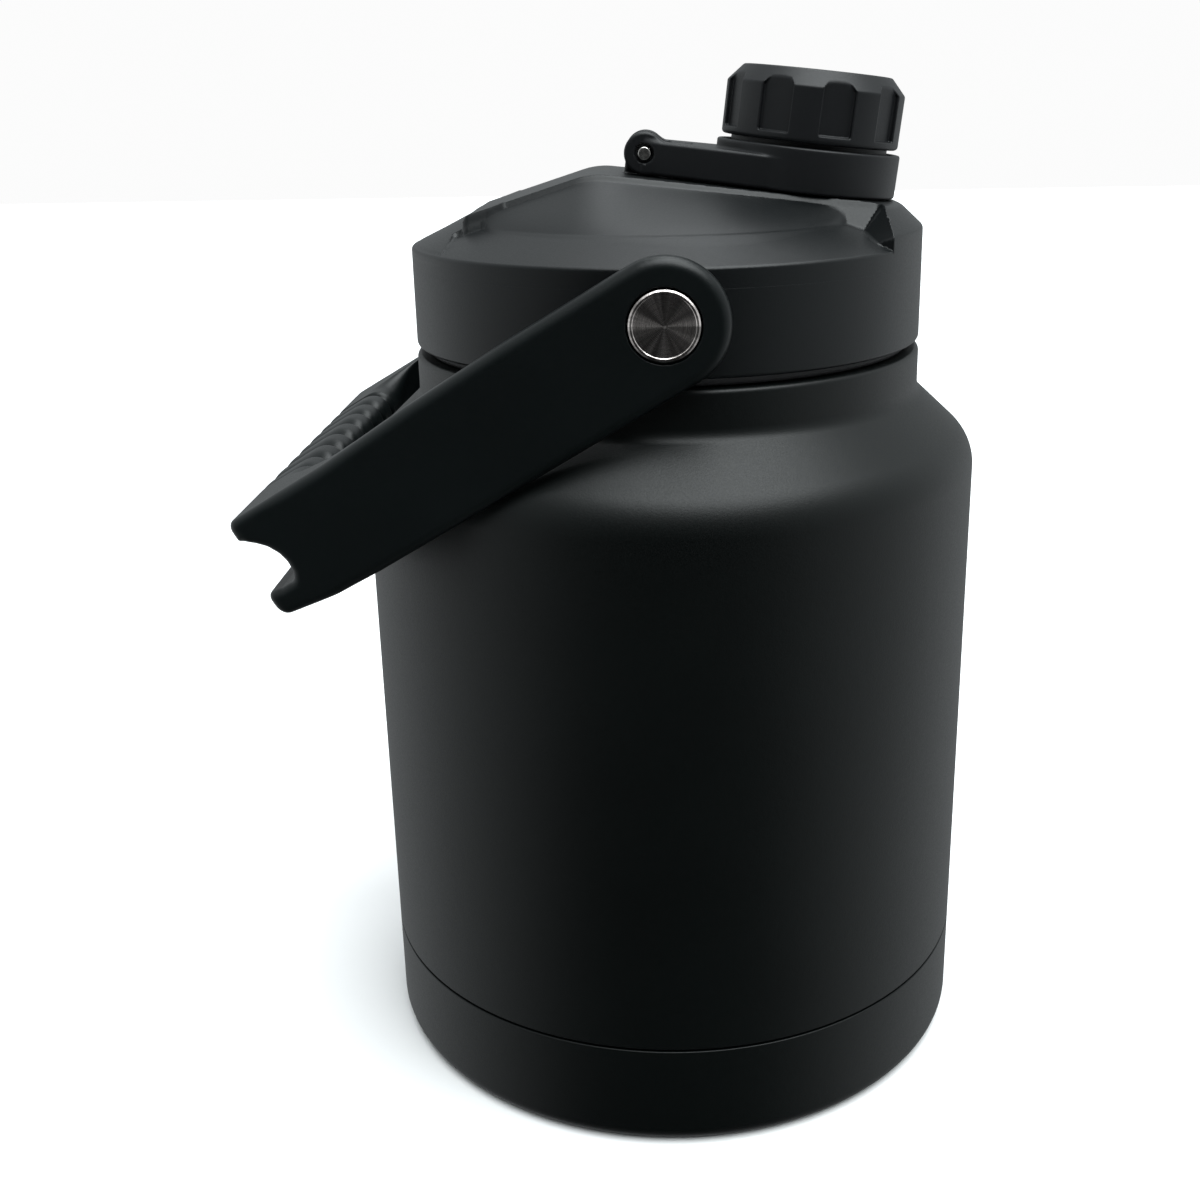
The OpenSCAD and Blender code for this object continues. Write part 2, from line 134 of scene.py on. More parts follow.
def ramp(nt, value, c0, c1, p0=0.3, p1=0.7):
    r = nt.nodes.new("ShaderNodeValToRGB")
    r.color_ramp.elements[0].position = p0
    r.color_ramp.elements[0].color = (*c0, 1)
    r.color_ramp.elements[1].position = p1
    r.color_ramp.elements[1].color = (*c1, 1)
    nt.links.new(value, r.inputs["Fac"])
    return r.outputs["Color"]


def add_bump(nt, bsdf, height, strength, distance, after=None):
    b = nt.nodes.new("ShaderNodeBump")
    b.inputs["Strength"].default_value = strength
    b.inputs["Distance"].default_value = distance
    nt.links.new(height, b.inputs["Height"])
    if after is not None:
        nt.links.new(after, b.inputs["Normal"])
    nt.links.new(b.outputs["Normal"], bsdf.inputs["Normal"])
    return b.outputs["Normal"]


def scaled(color, k):
    return tuple(c * k for c in color)


def coated(name, base, rough, grain, grain_depth, orange_peel=0.0, spread=0.12):
    """Dark matte finish: fine grain, soft unevenness and slight colour drift."""
    mat, nt, bsdf, coords = node_material(name, base, rough)
    drift = noise(nt, coords, 35.0, 3.0)
    nt.links.new(ramp(nt, drift, scaled(base, 1 - spread), scaled(base, 1 + spread)),
                 bsdf.inputs["Base Color"])
    fine = noise(nt, coords, grain, 3.0, 0.6)
    nt.links.new(remap(nt, fine, rough - 0.05, rough + 0.05), bsdf.inputs["Roughness"])
    normal = add_bump(nt, bsdf, fine, 0.35, grain_depth)
    if orange_peel:
        soft = noise(nt, coords, 420.0, 1.0)
        add_bump(nt, bsdf, soft, 0.25, orange_peel, normal)
    bsdf.inputs["Specular IOR Level"].default_value = 0.28
    return mat


def brushed(name, base, rough, stretch, depth=0.00001):
    """Metal with fine marks drawn out along one direction."""
    mat, nt, bsdf, coords = node_material(name, base, rough, 1.0)
    mapping = nt.nodes.new("ShaderNodeMapping")
    mapping.inputs["Scale"].default_value = stretch
    nt.links.new(coords.outputs["Object"], mapping.inputs["Vector"])
    n = nt.nodes.new("ShaderNodeTexNoise")
    n.inputs["Scale"].default_value = 900.0
    n.inputs["Detail"].default_value = 3.0
    nt.links.new(mapping.outputs["Vector"], n.inputs["Vector"])
    nt.links.new(remap(nt, n.outputs["Fac"], rough - 0.07, rough + 0.07), bsdf.inputs["Roughness"])
    nt.links.new(ramp(nt, n.outputs["Fac"], scaled(base, 0.9), base), bsdf.inputs["Base Color"])
    add_bump(nt, bsdf, n.outputs["Fac"], 0.3, depth)
    return mat


def turned(name, base, rough, centre):
    """Face-turned metal: fine concentric rings about the Y axis, a radial sheen from the tangent, and radial
    glints painted into the colour as dark and bright sectors.
    """
    mat, nt, bsdf, coords = node_material(name, base, rough, 1.0)
    sep = nt.nodes.new("ShaderNodeSeparateXYZ")
    nt.links.new(coords.outputs["Object"], sep.inputs["Vector"])

    def math_node(op, a, b=None):
        m = nt.nodes.new("ShaderNodeMath")
        m.operation = op
        for i, v in enumerate((a, b)):
            if v is None:
                continue
            if isinstance(v, float):
                m.inputs[i].default_value = v
            else:
                nt.links.new(v, m.inputs[i])
        return m.outputs["Value"]

    dx = math_node("SUBTRACT", sep.outputs["X"], float(centre[0] * MM))
    dz = math_node("SUBTRACT", sep.outputs["Z"], float(centre[2] * MM))
    r2 = math_node("ADD", math_node("MULTIPLY", dx, dx), math_node("MULTIPLY", dz, dz))
    r = math_node("SQRT", r2)
    rings = nt.nodes.new("ShaderNodeTexNoise")
    rings.noise_dimensions = "1D"
    rings.inputs["Scale"].default_value = 9000.0
    rings.inputs["Detail"].default_value = 2.0
    nt.links.new(r, rings.inputs["W"])
    angle = math_node("ARCTAN2", dz, dx)
    # painted reflection: noise around the centre paints dark and bright radial sectors into the base colour,
    # standing in for glints
    painted_glints = nt.nodes.new("ShaderNodeTexNoise")
    painted_glints.noise_dimensions = "1D"
    painted_glints.inputs["Scale"].default_value = 2.2
    painted_glints.inputs["Detail"].default_value = 4.0
    nt.links.new(angle, painted_glints.inputs["W"])
    nt.links.new(ramp(nt, painted_glints.outputs["Fac"], scaled(base, 0.30), base, 0.40, 0.62),
                 bsdf.inputs["Base Color"])
    nt.links.new(remap(nt, rings.outputs["Fac"], rough - 0.05, rough + 0.08),
                 bsdf.inputs["Roughness"])
    add_bump(nt, bsdf, rings.outputs["Fac"], 0.35, 0.00002)
    tangent = nt.nodes.new("ShaderNodeTangent")
    tangent.direction_type = "RADIAL"
    tangent.axis = "Y"
    nt.links.new(tangent.outputs["Tangent"], bsdf.inputs["Tangent"])
    bsdf.inputs["Anisotropic"].default_value = 0.9
    return mat


mats = {
    "powder_coat": coated("powder_coat", (0.0010, 0.0021, 0.0020), 0.42, 2600.0, 0.00007, 0.00006),
    "lid_plastic": coated("lid_plastic", (0.0028, 0.0038, 0.0042), 0.38, 2400.0, 0.00005),
    "handle_plastic": coated("handle_plastic", (0.0014, 0.0030, 0.0032), 0.39, 2600.0, 0.00005),
    "cap_plastic": coated("cap_plastic", (0.0055, 0.0062, 0.0072), 0.46, 2800.0, 0.00004),
    "silicone": coated("silicone", (0.020, 0.020, 0.021), 0.62, 1500.0, 0.00003),
    "white_plastic": coated("white_plastic", (0.70, 0.69, 0.65), 0.42, 1500.0, 0.00002, 0.0, 0.05),
    "foam": coated("foam", (0.72, 0.62, 0.38), 0.85, 900.0, 0.0002, 0.0, 0.1),
    "getter_metal": coated("getter_metal", (0.22, 0.22, 0.23), 0.55, 1800.0, 0.0001),
    "bare_steel": brushed("bare_steel", (0.60, 0.59, 0.57), 0.30, (0.03, 0.03, 1.0)),
    "copper_foil": brushed("copper_foil", (0.78, 0.42, 0.26), 0.32, (1.0, 1.0, 0.2), 0.00004),
    "brass": brushed("brass", (0.72, 0.50, 0.20), 0.34, (1.0, 0.1, 1.0)),
    "turned_steel": turned("turned_steel", (0.86, 0.79, 0.76), 0.22, PIVOT),
}
mats["pin_steel"] = brushed("pin_steel", (0.68, 0.66, 0.63), 0.28, (1.0, 1.0, 1.0))

SLOT_OF = {s["node"]: s["material_slot"] for s in frame["record"]["subparts"]}
for node_name, node_obj in frame["nodes"].items():
    node_obj.data.materials.clear()
    node_obj.data.materials.append(mats[SLOT_OF[node_name]])

# ---------------------------------------------------------------- mesh helpers


def unit(v):
    return v / np.maximum(np.linalg.norm(v, axis=-1, keepdims=True), 1e-12)


def fillet(points, closed, default=0.15, steps=5):
    """Rounds the corners of a section. points are (r, z) or (r, z, radius).
    Gives positions and outward normals (to the right of the direction of travel)."""
    P = [np.array(p[:2], float) for p in points]
    R = [p[2] if len(p) > 2 else default for p in points]
    n = len(P)
    pos, nor = [], []
    for i in range(n):
        if not closed and i in (0, n - 1):
            d = unit(P[1] - P[0]) if i == 0 else unit(P[-1] - P[-2])
            pos.append(P[i])
            nor.append(np.array([d[1], -d[0]]))
            continue
        a, p, b = P[i - 1], P[i], P[(i + 1) % n]
        din, dout = unit(p - a), unit(b - p)
        nin = np.array([din[1], -din[0]])
        turn = math.atan2(din[0] * dout[1] - din[1] * dout[0], float(din @ dout))
        if abs(turn) < 1e-3:
            pos.append(p)
            nor.append(nin)
            continue
        t = min(R[i] * math.tan(abs(turn) / 2),
                0.48 * np.linalg.norm(p - a), 0.48 * np.linalg.norm(b - p))
        rad = t / math.tan(abs(turn) / 2)
        side = 1.0 if turn > 0 else -1.0
        c = p - din * t - nin * rad * side
        k = max(3, int(steps * abs(turn) / (math.pi / 2)) + 2)
        for j in range(k + 1):
            ang = turn * j / k
            ca, sa = math.cos(ang), math.sin(ang)
            nj = np.array([nin[0] * ca - nin[1] * sa, nin[0] * sa + nin[1] * ca])
            pos.append(c + nj * rad * side)
            nor.append(nj)
    return np.array(pos), np.array(nor)


class Shape:
    """Collects vertices (mm), faces and normals, then writes one mesh object."""

    def __init__(self):
        self.v, self.f, self.n, self.count = [], [], [], 0

    def add(self, verts, faces, normals):
        self.v.append(np.asarray(verts, float))
        self.n.append(np.asarray(normals, float))
        self.f.extend([tuple(int(i) + self.count for i in f) for f in faces])
        self.count += len(verts)

    def lathe(self, section, closed=True, seg=192, origin=(0, 0, 0), basis=None, default=0.15,
              steps=5, warp=None):
        pos, nor = fillet(section, closed, default, steps)
        m = len(pos)
        ang = np.arange(seg) * 2 * math.pi / seg
        ca, sa = np.cos(ang), np.sin(ang)
        local = np.stack([pos[:, None, 0] * ca, pos[:, None, 0] * sa,
                          np.repeat(pos[:, 1:2], seg, 1)], -1)
        normal = np.stack([nor[:, None, 0] * ca, nor[:, None, 0] * sa,
                           np.repeat(nor[:, 1:2], seg, 1)], -1)
        if warp is not None:
            local = warp(local)
        basis = np.eye(3) if basis is None else basis
        faces = []
        rows = range(m if closed else m - 1)
        for i in rows:
            k = (i + 1) % m
            r0, r1 = pos[i, 0], pos[k, 0]
            for j in range(seg):
                j1 = (j + 1) % seg
                a, b, c, d = i * seg + j, i * seg + j1, k * seg + j1, k * seg + j
                if r0 < 1e-6 and r1 < 1e-6:
                    continue
                if r0 < 1e-6:
                    faces.append((i * seg, c, d))
                elif r1 < 1e-6:
                    faces.append((a, b, k * seg))
                else:
                    faces.append((a, b, c, d))
        verts = local.reshape(-1, 3) @ basis.T + np.array(origin, float)
        self.add(verts, faces, unit(normal.reshape(-1, 3) @ basis.T))
        return self

    def rib(self, root, crest, pitch, turns, z0, base_w, top_w, origin=(0, 0, 0), basis=None,
            steps=90, fade=0.12):
        """Helical thread with a rounded crest; root and crest are (value at 0, change per mm)."""
        n = int(turns * steps)
        i = np.arange(n + 1)
        ang = 2 * math.pi * turns * i / n
        z = z0 + pitch * turns * i / n
        k = np.clip(np.minimum(i / n / fade, (1 - i / n) / fade), 0.02, 1)
        k = k * k * (3 - 2 * k)
        ro = root[0] + root[1] * z
        rt = ro + (crest[0] + crest[1] * z - ro) * k
        shape = [(0, -base_w / 2), (0.55, -top_w * 0.75), (0.9, -top_w / 2), (1, -top_w * 0.25),
                 (1, top_w * 0.25), (0.9, top_w / 2), (0.55, top_w * 0.75), (0, base_w / 2)]
        rows = []
        for s, w in shape:
            r = ro + (rt - ro) * s
            rows.append(np.stack([r * np.cos(ang), r * np.sin(ang), z + w], -1))
        grid = np.stack(rows, 1)
        m = len(shape)
        outward = crest[0] > root[0]
        faces = []
        for a in range(n):
            for b in range(m - 1):
                q = (a * m + b, (a + 1) * m + b, (a + 1) * m + b + 1, a * m + b + 1)
                faces.append(q if outward else q[::-1])
        for a, flip in ((0, False), (n, True)):
            loop = tuple(a * m + b for b in range(m))
            faces.append(loop if (flip != outward) else loop[::-1])
        basis = np.eye(3) if basis is None else basis
        verts = grid.reshape(-1, 3) @ basis.T + np.array(origin, float)
        self.add(verts, faces, np.zeros_like(verts))
        return self

    def write(self, name, material, body, slot, *replaced):
        verts = np.concatenate(self.v) * MM
        mesh = bpy.data.meshes.new(name)
        mesh.from_pydata(verts.tolist(), [], self.f)
        mesh.update()
        mesh.polygons.foreach_set("use_smooth", np.ones(len(mesh.polygons), bool))
        mesh.normals_split_custom_set_from_vertices(np.concatenate(self.n).tolist())
        mesh.materials.append(material)
        obj = bpy.data.objects.new(name, mesh)
        bpy.context.scene.collection.objects.link(obj)
        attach(obj, body)
        if replaced:
            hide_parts(*replaced)
        return obj


SPOUT_BASIS = np.stack([AXIS_U, np.array([0.0, 1.0, 0.0]), AXIS_W], 1)


def y_basis(side):
    """Local z runs along side * Y."""
    return np.array([[1.0, 0, 0], [0, 0, side], [0, -side, 0]])


# ---------------------------------------------------------------- distance fields

CELL_EDGES = [((0, 0, 0), (1, 0, 0)), ((0, 1, 0), (1, 1, 0)),
              ((0, 0, 1), (1, 0, 1)), ((0, 1, 1), (1, 1, 1)),
              ((0, 0, 0), (0, 1, 0)), ((1, 0, 0), (1, 1, 0)),
              ((0, 0, 1), (0, 1, 1)), ((1, 0, 1), (1, 1, 1)),
              ((0, 0, 0), (0, 0, 1)), ((1, 0, 0), (1, 0, 1)),
              ((0, 1, 0), (0, 1, 1)), ((1, 1, 0), (1, 1, 1))]


def mesh_field(field, lo, hi, h, polish=4):
    """Meshes field(x, y, z) = 0 (negative inside) by surface nets, then pulls each vertex
    onto the surface. Gives vertices, quads and normals."""
    lo, hi = np.array(lo, float), np.array(hi, float)
    axes = [np.arange(lo[i] - 2 * h, hi[i] + 2.5 * h, h) for i in range(3)]
    X, Y, Z = np.meshgrid(*axes, indexing="ij", sparse=True)
    shape = tuple(len(a) for a in axes)
    F = np.broadcast_to(field(X, Y, Z), shape).astype(np.float32)
    inside = F < 0
    cells = tuple(s - 1 for s in shape)

    def corner(arr, o):
        return arr[o[0]:o[0] + cells[0], o[1]:o[1] + cells[1], o[2]:o[2] + cells[2]]

    total = np.zeros(cells, np.uint8)
    for o in np.ndindex(2, 2, 2):
        total += corner(inside, o)
    active = (total > 0) & (total < 8)
    idx = np.argwhere(active)
    index = np.full(cells, -1, np.int64)
    index[active] = np.arange(len(idx))
    acc = np.zeros((len(idx), 3))
    cnt = np.zeros(len(idx))
    for a, b in CELL_EDGES:
        fa = F[idx[:, 0] + a[0], idx[:, 1] + a[1], idx[:, 2] + a[2]].astype(float)
        fb = F[idx[:, 0] + b[0], idx[:, 1] + b[1], idx[:, 2] + b[2]].astype(float)
        hit = (fa < 0) != (fb < 0)
        t = np.where(hit, fa / np.where(hit, fa - fb, 1.0), 0.0)[:, None]
        p = np.array(a) + (np.array(b) - np.array(a)) * t
        acc += p * hit[:, None]
        cnt += hit
    verts = (idx + acc / cnt[:, None]) * h + np.array([a[0] for a in axes])

    quads = []
    for ax in range(3):
        u, v = (ax + 1) % 3, (ax + 2) % 3
        s0 = [slice(1, None)] * 3
        s0[ax] = slice(0, -1)
        s1 = list(s0)
        s1[ax] = slice(1, None)
        f0, f1 = inside[tuple(s0)], inside[tuple(s1)]
        where = np.argwhere(f0 != f1)
        start = f0[tuple(where.T)]
        base = where.copy()
        for k in (u, v):
            base[:, k] += 1
        ok = np.ones(len(base), bool)
        for k in (u, v):
            ok &= base[:, k] < cells[k]
        base, start = base[ok], start[ok]
        eu, ev = np.zeros(3, int), np.zeros(3, int)
        eu[u], ev[v] = 1, 1
        q = [index[tuple((base - eu - ev).T)], index[tuple((base - ev).T)],
             index[tuple(base.T)], index[tuple((base - eu).T)]]
        q = np.stack(q, 1)
        q[~start] = q[~start][:, ::-1]
        quads.append(q)
    quads = np.concatenate(quads)
    quads = quads[(quads >= 0).all(1)]

    e = 0.05

    def slope(p):
        g = np.stack([field(*(p + d).T) - field(*(p - d).T)
                      for d in np.eye(3) * e], -1)
        return g / (2 * e)

    for _ in range(polish):
        g = slope(verts)
        f = field(*verts.T)
        step = (f / np.maximum((g * g).sum(1), 0.25))[:, None] * g
        size = np.linalg.norm(step, axis=1, keepdims=True)
        verts = verts - step * np.minimum(1.0, 0.5 * h / np.maximum(size, 1e-9))
    return verts, quads, unit(slope(verts))


class Section:
    """Signed distance to a closed 2D outline, sampled once on a fine grid."""

    def __init__(self, points, lo, hi, h=0.12):
        rounded = any(len(p) > 2 for p in points)
        pos = fillet(points, True, 0.0, 8)[0] if rounded else np.array(points, float)
        self.lo, self.h = np.array(lo, float), h
        n = np.ceil((np.array(hi, float) - self.lo) / h).astype(int) + 1
        a = self.lo[0] + h * np.arange(n[0])[:, None]
        b = self.lo[1] + h * np.arange(n[1])[None, :]
        best = np.full(tuple(n), 1e9)
        wind = np.zeros(tuple(n), bool)
        for p, q in zip(pos, np.roll(pos, -1, 0)):
            e = q - p
            ll = float(e @ e)
            if ll < 1e-12:
                continue
            t = np.clip(((a - p[0]) * e[0] + (b - p[1]) * e[1]) / ll, 0, 1)
            best = np.minimum(best, (a - p[0] - t * e[0]) ** 2 + (b - p[1] - t * e[1]) ** 2)
            cross = ((p[1] > b) != (q[1] > b))
            if abs(e[1]) > 1e-12:
                wind ^= cross & (a < p[0] + (b - p[1]) * e[0] / e[1])
        self.g = np.sqrt(best) * np.where(wind, -1.0, 1.0)
        self.n = n

    def __call__(self, a, b):
        i = np.clip((a - self.lo[0]) / self.h, 0, self.n[0] - 1.001)
        j = np.clip((b - self.lo[1]) / self.h, 0, self.n[1] - 1.001)
        i0, j0 = i.astype(int), j.astype(int)
        s, t = i - i0, j - j0
        g = self.g
        return ((g[i0, j0] * (1 - s) + g[i0 + 1, j0] * s) * (1 - t)
                + (g[i0, j0 + 1] * (1 - s) + g[i0 + 1, j0 + 1] * s) * t)


def both(a, b, r=0.0):
    """Intersection with a rounded edge of radius r (a number or an array)."""
    return np.minimum(np.maximum(a, b), -r) + np.hypot(np.maximum(a + r, 0), np.maximum(b + r, 0))


def either(a, b, k=0.0):
    """Union with a fillet of radius k."""
    return -both(-a, -b, k)


def minus(a, b, r=0.0):
    """Takes b away from a, with a rounded edge."""
    return both(a, -b, r)


def to_spout(x, y, z):
    """World millimetres to the spout's own axes."""
    dx, dz = x - SPOUT[0], z - SPOUT[2]
    return dx * AXIS_U[0] + dz * AXIS_U[2], y, dx * AXIS_W[0] + dz * AXIS_W[2]


def add_field(shape, field, lo, hi, h, basis=None, origin=(0, 0, 0)):
    v, q, n = mesh_field(field, lo, hi, h)
    if basis is not None:
        v = v @ basis.T + np.array(origin, float)
        n = n @ basis.T
        if np.linalg.det(basis) < 0:
            q = q[:, ::-1]
    shape.add(v, q, n)
    return shape


# ---------------------------------------------------------------- vessel

SLOPE = math.radians(47)
SHOULDER_R, BLEND_R, NECK_R, SHOULDER_Z = 12.0, 4.0, 59.3, 144.3


def shoulder(r, neck, z_sh, r_sh, r_bl):
    """The two rounded corners between the body's cylinder, the slope and the neck.
    The slope's normal points SLOPE above the horizontal."""
    low = z_sh + r_sh * math.tan(SLOPE / 2)
    rise = (r - neck) / math.tan(SLOPE)
    return [(r, low, r_sh), (neck, low + rise, r_bl)]


WALL = 1.0
LIP_R, LIP_DEPTH = 55.2, 1.2
outer = Shape()
outer.lathe([(BODY_R - WALL, SEAM_Z + 0.6, 0.1), (BODY_R, SEAM_Z + 0.6, 0.25)]
            + shoulder(BODY_R, NECK_R, SHOULDER_Z, SHOULDER_R, BLEND_R)
            + [(NECK_R, RIM_Z, 1.1), (LIP_R, RIM_Z, 0.2), (LIP_R, RIM_Z - LIP_DEPTH, 0.1),
               (NECK_R - WALL, RIM_Z - LIP_DEPTH, 0.3)]
            + shoulder(BODY_R - WALL, NECK_R - WALL, SHOULDER_Z, SHOULDER_R - WALL,
                       BLEND_R + WALL)[::-1],
            seg=320, steps=14)
outer.write("outer_wall", mats["powder_coat"], "vessel", "powder_coat", "outer_shell")

cup = Shape()
cup.lathe([(50.9, 0.7, 0.3), (52.9, 0.7, 0.3), (56.5, 0.0, 1.2), (BODY_R, 0.0, 4.4),
           (BODY_R, SEAM_Z, 0.25), (BODY_R - 1.05, SEAM_Z, 0.15),
           (BODY_R - 1.05, SEAM_Z + 7, 0.2), (BODY_R - 2.2, SEAM_Z + 7, 0.2),
           (BODY_R - 2.2, 4.0, 3.0), (54, 2.0, 1.0), (52.8, 5.4, 0.3), (50.9, 5.4, 0.2)],
          seg=320, steps=10)
cup.write("base_cup_skin", mats["powder_coat"], "vessel", "powder_coat", "base_cup")

plate = Shape()
plate.lathe([(1.2, 4.5, 0.3), (4.1, 4.5, 0.1), (4.6, 4.9, 0.3), (9, 4.6, 1.5), (40, 4.6, 3), (44, 5.1, 3),
             (50.7, 5.1, 0.4), (50.7, 5.5, 0.1), (1.2, 5.5, 0.1)], seg=192)
plate.write("bottom_plate", mats["powder_coat"], "vessel", "powder_coat", "outer_bottom")

plug = Shape()
plug.lathe([(0, 4.62, 0), (3.1, 4.62, 0.5), (3.75, 4.8, 0.1), (3.75, 4.95, 0.05), (0, 4.95, 0)],
           closed=False, seg=64)
plug.write("vacuum_port", mats["bare_steel"], "vessel", "bare_steel", "port_seal")

LINER_R, LINER_NECK, LINER_T, LINER_FLOOR = 68.0, 54.3, 0.8, 12.0
NECK_BEND = 6.0
liner_corner = 157.0 + NECK_BEND * math.tan(SLOPE / 2)
liner_low = liner_corner - (LINER_R - LINER_NECK) / math.tan(SLOPE)
liner = Shape()
liner_back = LINER_R + LINER_T
neck_back = LINER_NECK + LINER_T
inner_line = [(0, LINER_FLOOR, 0), (20, LINER_FLOOR, 8), (24, 12.9, 6), (46, 12.9, 6),
              (50, LINER_FLOOR, 6), (LINER_R, LINER_FLOOR, 12.0), (LINER_R, liner_low, 12.0),
              (LINER_NECK, liner_corner, NECK_BEND), (LINER_NECK, RIM_Z - 0.5, 0.5)]
back_line = [(neck_back, RIM_Z - 0.5, 0.5), (neck_back, liner_corner + 0.3, 5.2),
             (liner_back, liner_low + 0.3, 12.8), (liner_back, 11.2, 12.8), (0, 11.2, 0)]
rim_line = [(LINER_NECK, RIM_Z, 0.3), (neck_back, RIM_Z, 0.3)]
liner.lathe((inner_line + rim_line + back_line)[::-1], closed=False, seg=256, steps=10)
LID_PITCH, LID_TURNS = 6.0, 1.25
liner.rib((LINER_NECK + 0.4, 0), (53.45, 0), LID_PITCH, LID_TURNS, 159.2, 3.0, 1.2)
liner.write("liner", mats["bare_steel"], "vessel", "bare_steel", "inner_liner")

# ---------------------------------------------------------------- seals

gasket = Shape()
gasket.lathe([(54.9, 172.2, 0.3), (55.3, 172.2, 0.2), (55.55, 172.5, 0.1), (55.8, 172.2, 0.2),
              (56.3, 172.2, 0.3), (56.6, 172.8, 0.4), (56.6, 174.25, 0.3), (54.9, 174.25, 0.3)],
             seg=192)
gasket.write("lid_seal", mats["silicone"], "rim_seal", "silicone", "rim_gasket")

oring_z = (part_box("plug_oring")[0].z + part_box("plug_oring")[1].z) / 2 / MM
ORING_R, ORING_WIRE = 52.8, 1.18
oring = Shape()
oring.lathe([(ORING_R + ORING_WIRE * math.cos(a), oring_z + ORING_WIRE * math.sin(a), 0.4)
             for a in np.arange(12) * math.pi / 6], seg=192, steps=6)
oring.write("plug_o_ring", mats["silicone"], "plug_seal", "silicone", "plug_oring")

spout_seal = Shape()
spout_seal.lathe([(13.15, -3.75, 0.2), (14.3, -3.75, 0.3), (14.3, -2.7, 0.3), (13.15, -2.7, 0.2)],
                 seg=96, origin=SPOUT, basis=SPOUT_BASIS)
spout_seal.write("spout_seal", mats["silicone"], "lid", "silicone", "spout_gasket")

# ---------------------------------------------------------------- lid

DECK_F, DECK_R = (53.3, 204.2), (-44.5, 203.7)  # front and rear ends of the deck, (x, z)
RIDGE_TAN, REAR_TAN = math.tan(TILT), 0.3102
DECK_HALF = 20.0
SCOOP_R, SCOOP_Z = 45.8, 201.0


def deck_z(x):
    """Height of the deck at x: two slopes that meet in a soft ridge."""
    a = DECK_R[1] + REAR_TAN * (x - DECK_R[0])
    b = DECK_F[1] + RIDGE_TAN * (DECK_F[0] - x)
    k = 1.6
    h = np.maximum(k - np.abs(a - b), 0) / k
    return np.minimum(a, b) - h * h * k / 4


WALL_TOP = 192.0
FLANK = 1.3  # slope of the end blocks' sides
LIP = 0.9  # short steep band round the deck's top edge
flush_r = LID_R - 0.02  # a hair inside the lathed wall
lid_section = Section([(-5, 190.5, 0.2), (flush_r, 190.5, 0.3), (flush_r, 196.2, 0.8),
                       (SCOOP_R, SCOOP_Z, 2.0), (-5, SCOOP_Z, 0.2)], (-1, 186), (64, 216), 0.1)
rear_section = Section([(-5, 188, 0), (flush_r, 188, 0), (flush_r, 196.2, 3.0),
                        (52.0, 199.6, 1.5), (44.8, 203.2, 1.5), (30, 219, 0), (-5, 219, 0)],
                       (-1, 186), (64, 222), 0.1)
front_section = Section([(-5, 188, 0), (flush_r, 188, 0), (flush_r, 199.2, 1.2),
                         (DECK_F[0], DECK_F[1] + 0.5, 1.6), (30, 219, 0), (-5, 219, 0)],
                        (-1, 186), (64, 222), 0.1)
block_plan = Section([(36, -20, 0), (47.3, -20, 1.5), (48.3, -38, 0), (80, -38, 0), (80, 38, 0),
                      (48.3, 38, 0), (47.3, 20, 1.5), (36, 20, 0)], (-1, -62), (64, 62), 0.12)


def ease(t):
    """Smooth step from 0 to 1."""
    t = np.clip(t, 0, 1)
    return t * t * (3 - 2 * t)


def deck_field(x, ay, z):
    """The deck and the slopes that fall from its long edges to the scoop; ay is |y|."""
    zd = deck_z(x)
    chord = np.sqrt(np.maximum(SCOOP_R ** 2 - x * x, 9.0)) - DECK_HALF
    width = np.maximum(chord, 1.5)
    out_y = np.maximum(ay - DECK_HALF, 0)
    fall = np.minimum(np.maximum(zd - SCOOP_Z - LIP, 0.2) / width, 1.15)
    t = np.clip(out_y / width, 0, 1.6)
    slope_z = zd - LIP * ease(out_y / 1.3) - fall * out_y * (0.9 + 0.1 * t ** 3)
    deck = (z - slope_z) / np.sqrt(1 + np.where(ay > DECK_HALF, fall * fall, 0.01))
    return both(both(deck, -45.0 - x, 1.5), x - 46.0, 1.5)


def lid_field(x, y, z):
    r = np.hypot(x, y)
    base = lid_section(r, z + 0 * r)
    out = either(base, both(deck_field(x, np.abs(y), z), 198.0 - z), 0.4)
    cut = z - deck_z(x) - 0.05
    for section, mirrored in ((rear_section, -1), (front_section, 1)):
        plan = block_plan(mirrored * x, y + 0 * x)
        steep = FLANK * ease(plan / 0.8 + 0.5)
        block = both(section(r, z + 0 * r), cut, 0.9) + steep * np.maximum(plan, 0)
        block = block / np.sqrt(1 + steep * steep)
        block = np.where(mirrored * x > DECK_HALF, both(block, 193.0 - z), 9.0)
        # no fillet where the block is flush with the wall
        out = either(out, block, 0.5 * ease((LID_R - 2.0 - r) / 2.5))
    u, v, w = to_spout(x, y, z)
    # hinge lug on the deck
    du, dw = u - PIN_U, w - PIN_W
    lug = np.minimum(np.hypot(du, dw) - 4.2, both(np.abs(du) - 4.2, np.abs(w - 1.5) - 3.5))
    lug = both(lug, np.abs(v) - 4.85, 0.5)
    out = either(out, lug, 0.5)
    out = minus(out, np.hypot(du, dw) - 1.55)
    return minus(out, np.hypot(u, v) - 12.95, 0.2)


lid = Shape()
add_field(lid, lid_field, (-60, -60, 190.5), (60, 60, 222), 0.54)
lid.lathe([(LID_R - 2.2, LID_Z, 0.5), (LID_R, LID_Z, 0.9), (LID_R, WALL_TOP, 0.02),
           (LID_R - 1.5, WALL_TOP, 0.02), (LID_R - 2.2, WALL_TOP - 2, 0.2)], seg=320)
for side in (1.0, -1.0):
    lid.lathe([(0, 52, 0), (9.4, 52, 0.2), (9.4, 60.6, 0.5), (0, 60.6, 0)], closed=False, seg=96,
              origin=(PIVOT[0], 0, PIVOT[2]), basis=y_basis(side))
lid.write("lid_moulding", mats["lid_plastic"], "lid", "lid_plastic", "lid_cover")

